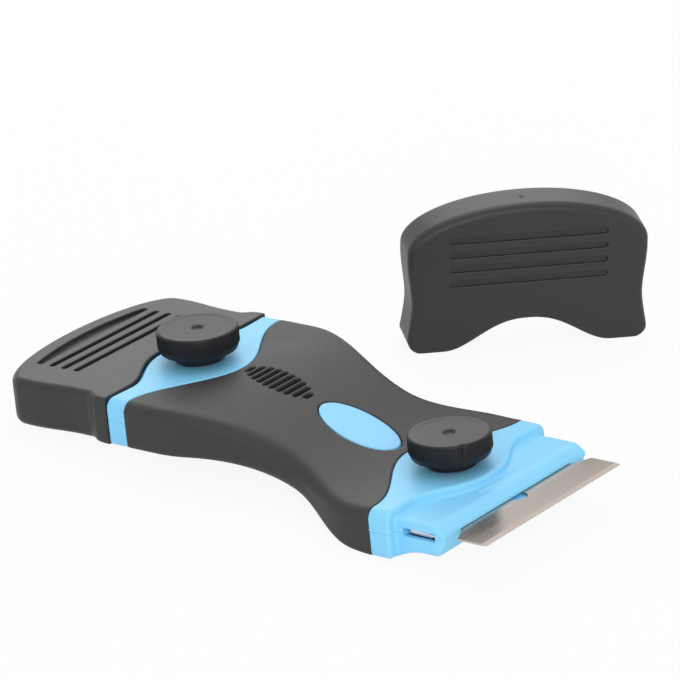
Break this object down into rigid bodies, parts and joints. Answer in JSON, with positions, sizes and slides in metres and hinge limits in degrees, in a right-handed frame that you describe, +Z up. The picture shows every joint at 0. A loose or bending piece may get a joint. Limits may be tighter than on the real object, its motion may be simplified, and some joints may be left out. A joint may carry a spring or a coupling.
{
  "type": "razor blade scraper",
  "caption": "Hand scraper with a wide steel blade clamped at each end by a knob, a cranked soft-grip handle and slip-on blade caps, one fitted and one standing beside it.",
  "frame": {"origin": "bottom centre of the box round the handle and the loose cap, on the table", "axes": "+X along the handle towards the bare blade, +Y towards the loose cap, +Z up"},
  "size_m": [0.1696, 0.1658, 0.0439],
  "materials": {
    "blue_plastic": "satin moulded",
    "badge_plastic": "smooth moulded",
    "soft_grip": "soft matt",
    "cap_plastic": "fine spark texture",
    "knob_plastic": "matt moulded",
    "blade_steel": "ground",
    "clamp_steel": "bright rolled",
    "plated_steel": "zinc plated"
  },
  "bodies": {
    "handle": {"upper_shell": "blue_plastic", "lower_shell": "blue_plastic", "grip_sleeve": "soft_grip", "badge_inlay": "badge_plastic", "shell_screws": "plated_steel", "deck_washer_right": "plated_steel", "deck_washer_left": "plated_steel"},
    "knob_right": {"knob_head_right": "knob_plastic", "knob_stud_right": "plated_steel", "stud_clip_right": "plated_steel"},
    "clamp_right": {"clamp_plate_right": "clamp_steel", "clamp_nut_right": "plated_steel"},
    "blade_right": {"blade_right": "blade_steel"},
    "knob_left": {"knob_head_left": "knob_plastic", "knob_stud_left": "plated_steel", "stud_clip_left": "plated_steel"},
    "clamp_left": {"clamp_plate_left": "clamp_steel", "clamp_nut_left": "plated_steel"},
    "blade_left": {"blade_left": "blade_steel"},
    "fitted_cap": {"fitted_cap": "cap_plastic"},
    "loose_cap": {"loose_cap": "cap_plastic"}
  },
  "joints": [
    {"name": "knob_right_turn", "type": "hinge", "parent": "handle", "child": "knob_right", "pos_m": [0.05083, -0.04746, 0.01352], "axis": [-0.1194, 0, 0.9928], "range_deg": [0, 675]},
    {"name": "clamp_right_drop", "type": "slide", "parent": "handle", "child": "clamp_right", "axis": [0.1194, 0, -0.9928], "range_m": [0, 0.0015]},
    {"name": "knob_left_turn", "type": "hinge", "parent": "handle", "child": "knob_left", "pos_m": [-0.03616, -0.04746, 0.01908], "axis": [-0.1194, 0, 0.9928], "range_deg": [0, 675]},
    {"name": "clamp_left_drop", "type": "slide", "parent": "handle", "child": "clamp_left", "axis": [0.1194, 0, -0.9928], "range_m": [0, 0.0015]},
    {"name": "blade_right_slide", "type": "slide", "parent": "handle", "child": "blade_right", "axis": [0.9928, 0, 0.1194], "range_m": [0, 0.022]},
    {"name": "blade_left_slide", "type": "slide", "parent": "handle", "child": "blade_left", "axis": [-0.9928, 0, -0.1194], "range_m": [0, 0.006]},
    {"name": "fitted_cap_slide", "type": "slide", "parent": "handle", "child": "fitted_cap", "axis": [-0.9928, 0, -0.1194], "range_m": [0, 0.045]},
    {"name": "loose_cap_lift", "type": "slide", "parent": "handle", "child": "loose_cap", "axis": [0, 0, 1], "range_m": [0, 0.06]}
  ],
  "couplings": [
    {"joint": "clamp_right_drop", "follows": "knob_right_turn", "m_per_rad": 0.00012732},
    {"joint": "clamp_left_drop", "follows": "knob_left_turn", "m_per_rad": 0.00012732}
  ]
}
